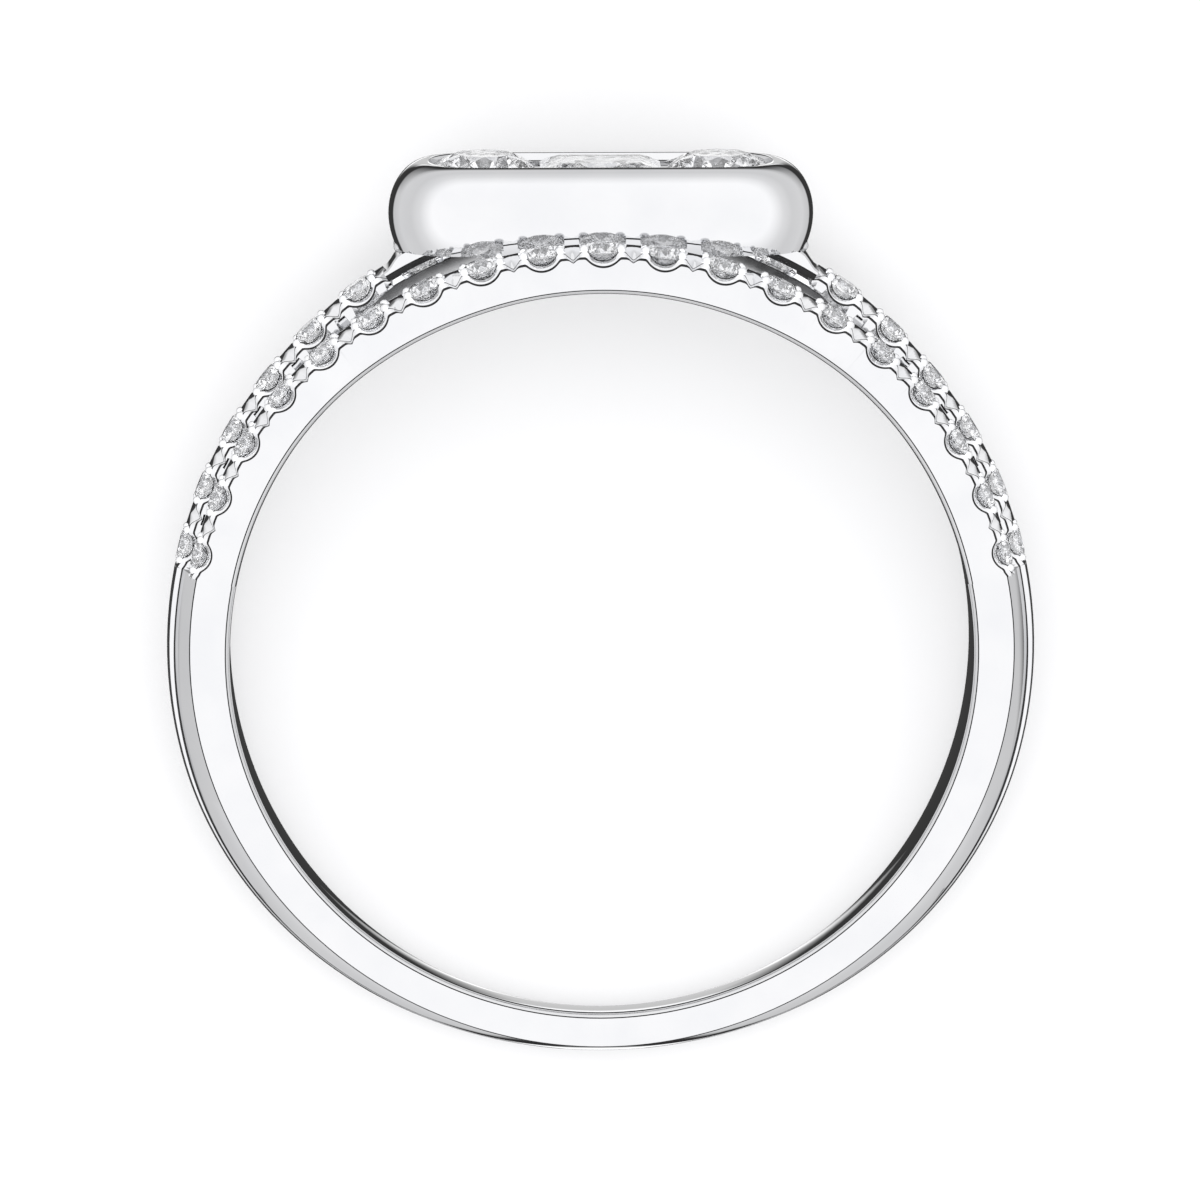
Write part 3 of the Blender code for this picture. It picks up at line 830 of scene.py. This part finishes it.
def build_ring():
    gold = polished_gold()
    # The near-black copy of the gold paints lines of shade, the dark grey rough copy paints shade
    # between the rails, and the pale copy paints highlights
    shade = polished_gold("painted_shade_lines_gold", rough=(0.2, 0.3), grey=0.03)
    cast_and_shade = polished_gold("cast_gold_and_painted_shade", rough=(0.15, 0.25), grey=0.4)
    painted_highlight = polished_gold("painted_highlight_gold", rough=(0.02, 0.05), grey=0.88, deepest_painted_shade=0.85)
    # Both diamond materials carry painted reflections of their facets in their colour
    stone = diamond("diamond", clear=1.0, dark=0.75, cell=0.3 * MM, sparkle=0.6)
    small = diamond("pave_diamond", clear=0.9, dark=0.75, cell=0.12 * MM, sparkle=0.95)
    side_run = range(-ROW_STONES_EACH_WAY, ROW_STONES_EACH_WAY + 1)
    left_run = range(-ROW_STONES_EACH_WAY, -CENTRE_ROW_FIRST + 1)
    right_run = range(CENTRE_ROW_FIRST, ROW_STONES_EACH_WAY + 1)
    shank = piece("plain_shank", shank_bm(), [gold, shade], 13.5)
    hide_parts("shank_and_bezel")
    piece("bezel", bezel_bm(), [gold], 30)
    finishes_and_painted_light = [gold, shade, cast_and_shade, painted_highlight]
    rows = (
        ("front", FRONT, side_run),
        ("back", BACK, side_run),
        ("centre_left", CENTRE, left_run),
        ("centre_right", CENTRE, right_run),
    )
    for name, rail, run in rows:
        piece(name + "_rail", rail_bm(rail, run), finishes_and_painted_light, 30)
        # The beads are painted with the pale highlight copy of the gold
        piece(name + "_beads", beads_bm(rail, run), [painted_highlight], 30)
        piece(name + "_pave_stones", pave_stones_bm(rail, run), [small])
    for name, way in (("left", -1), ("right", 1)):
        piece("centre_rail_end_" + name, rail_plate_bm(way), [gold, shade], 30)
        piece("end_beads_" + name, end_beads_bm(way), [gold], 30)
        piece("last_beads_" + name, last_beads_bm(way), [gold], 30)
    for name in ("round_stone_left", "baguette_stone", "round_stone_right"):
        node = frame["nodes"][name]
        node.data.materials.clear()
        node.data.materials.append(stone)


# Studio

# The camera, held in the ring's own frame, whose centre it shows that many pixels right of the
# picture's middle and below it
CAMERA_RISE = math.radians(9.471)
CAMERA_YAW = math.radians(1.258)
CAMERA_DISTANCE = 377.05 * MM
VIEW_WIDTH = 28.006 * MM
IMAGE_WIDTH = 1200
RING_CENTRE_RIGHT = 0.777
RING_CENTRE_DOWN = 44.46

# The tent's grey by a direction's height, from straight down (-1) to straight up (1)
TENT = (
    (-1.0, 0.9),
    (-0.92, 0.95),
    (-0.9, 0.02),
    (-0.84, 0.02),
    (-0.8, 0.5),
    (-0.5, 0.62),
    (0.0, 0.6),
    (0.35, 0.7),
    (0.7, 0.95),
    (1.0, 0.93),
)
TENT_STRENGTH = 1.62

# Cards in the tent, as limits on a direction: (axis, where the card starts, where it is full)
LOW_CARD = (("y", 0.2, 0.3), ("z", -0.35, -0.6), ("z", -0.92, -0.88), ("x", 0.75, 0.15))
CAP = (("z", -0.95, -0.97), ("y", 0.16, 0.1))
SIDE_CARDS = (("z", -0.84, -0.87), ("x", 0.1, 0.2))
TABLE_CARD = (("z", -0.92, -0.93), ("y", 0.17, 0.21), ("y", 0.38, 0.34))
DARK_CARD_GREY = 0.03
TABLE_CARD_GREY = 0.45


def add_camera():
    data = bpy.data.cameras.new("photo_camera")
    data.sensor_fit = "HORIZONTAL"
    data.sensor_width = 36
    data.lens = data.sensor_width * CAMERA_DISTANCE / VIEW_WIDTH
    data.shift_x = -RING_CENTRE_RIGHT / IMAGE_WIDTH
    data.shift_y = RING_CENTRE_DOWN / IMAGE_WIDTH
    data.clip_start = 0.01
    camera = bpy.data.objects.new("photo_camera", data)
    towards = Vector((-math.sin(CAMERA_YAW) * math.cos(CAMERA_RISE), math.sin(CAMERA_RISE),
                      math.cos(CAMERA_YAW) * math.cos(CAMERA_RISE)))
    right = Vector((math.cos(CAMERA_YAW), 0, math.sin(CAMERA_YAW)))
    above = towards.cross(right)
    axes = Matrix((right, above, towards)).transposed().to_4x4()
    camera.matrix_world = LAID @ Matrix.Translation(towards * CAMERA_DISTANCE) @ axes
    bpy.context.scene.collection.objects.link(camera)
    bpy.context.scene.camera = camera


def add_floor():
    bm = bmesh.new()
    bmesh.ops.create_grid(bm, x_segments=1, y_segments=1, size=1.5)
    floor = as_object("floor", bm)
    made, _, _, shader = new_material("pale_floor")
    shader.inputs["Base Color"].default_value = (0.58, 0.58, 0.583, 1)
    shader.inputs["Roughness"].default_value = 0.6
    shader.inputs["Specular IOR Level"].default_value = 0.2
    shader.inputs["Emission Color"].default_value = (1, 1, 1, 1)
    shader.inputs["Emission Strength"].default_value = 0.36
    floor.data.materials.append(made)
    floor.visible_glossy = False


def computed(nodes, links, operation, *values):
    made = nodes.new("ShaderNodeMath")
    made.operation = operation
    for value, place in zip(values, made.inputs):
        links.new(value, place)
    return made.outputs["Value"]


def card_mask(nodes, links, axes, limits):
    """1 where a direction is past every limit of a card, 0 before."""
    whole = None
    for axis, start, end in limits:
        edge = nodes.new("ShaderNodeMapRange")
        edge.inputs["From Min"].default_value = start
        edge.inputs["From Max"].default_value = end
        links.new(axes[axis], edge.inputs["Value"])
        past = edge.outputs["Result"]
        whole = computed(nodes, links, "MULTIPLY", whole, past) if whole else past
    return whole


def card_laid(nodes, links, mask, under, grey):
    """A colour with a grey card over it."""
    made = nodes.new("ShaderNodeMix")
    made.data_type = "RGBA"
    made.inputs["B"].default_value = (grey, grey, grey, 1)
    links.new(mask, made.inputs["Factor"])
    links.new(under, made.inputs["A"])
    return made.outputs["Result"]


def add_sky():
    """A white tent with a thin dark seam low down, and cards that the metal and stones mirror.

    The seam, the low card and the cap draw the metal's dark creases, the side cards the outline
    of the bezel's ends, and the table card greys the tables of the main stones.
    """
    world = bpy.data.worlds.new("white_tent")
    world.use_nodes = True
    nodes, links = world.node_tree.nodes, world.node_tree.links
    where = nodes.new("ShaderNodeTexCoord")
    split = nodes.new("ShaderNodeSeparateXYZ")
    links.new(where.outputs["Generated"], split.inputs["Vector"])
    height = nodes.new("ShaderNodeMapRange")
    height.inputs["From Min"].default_value = -1.0
    links.new(split.outputs["Z"], height.inputs["Value"])
    ramp = nodes.new("ShaderNodeValToRGB")
    stops = ramp.color_ramp.elements
    while len(stops) > 1:
        stops.remove(stops[-1])
    stops[0].position = 0.0
    stops[0].color = (TENT[0][1],) * 3 + (1,)
    for place, grey in TENT[1:]:
        stops.new((place + 1) / 2).color = (grey, grey, grey * 1.01, 1)
    links.new(height.outputs["Result"], ramp.inputs["Fac"])
    sideways = computed(nodes, links, "ABSOLUTE", split.outputs["X"])
    axes = {"x": sideways, "y": split.outputs["Y"], "z": split.outputs["Z"]}
    dark = card_mask(nodes, links, axes, LOW_CARD)
    for card in (SIDE_CARDS, CAP):
        dark = computed(nodes, links, "MAXIMUM", dark, card_mask(nodes, links, axes, card))
    over_tables = card_mask(nodes, links, axes, TABLE_CARD)
    tent = card_laid(nodes, links, over_tables, ramp.outputs["Color"], TABLE_CARD_GREY)
    tent = card_laid(nodes, links, dark, tent, DARK_CARD_GREY)
    background = nodes["Background"]
    links.new(tent, background.inputs["Color"])
    background.inputs["Strength"].default_value = TENT_STRENGTH
    bpy.context.scene.world = world


def main():
    build_ring()
    add_camera()
    add_floor()
    add_sky()
    scene = bpy.context.scene
    scene.view_settings.view_transform = "Standard"
    scene.cycles.max_bounces = 24
    scene.cycles.glossy_bounces = 20
    scene.cycles.transmission_bounces = 20


main()
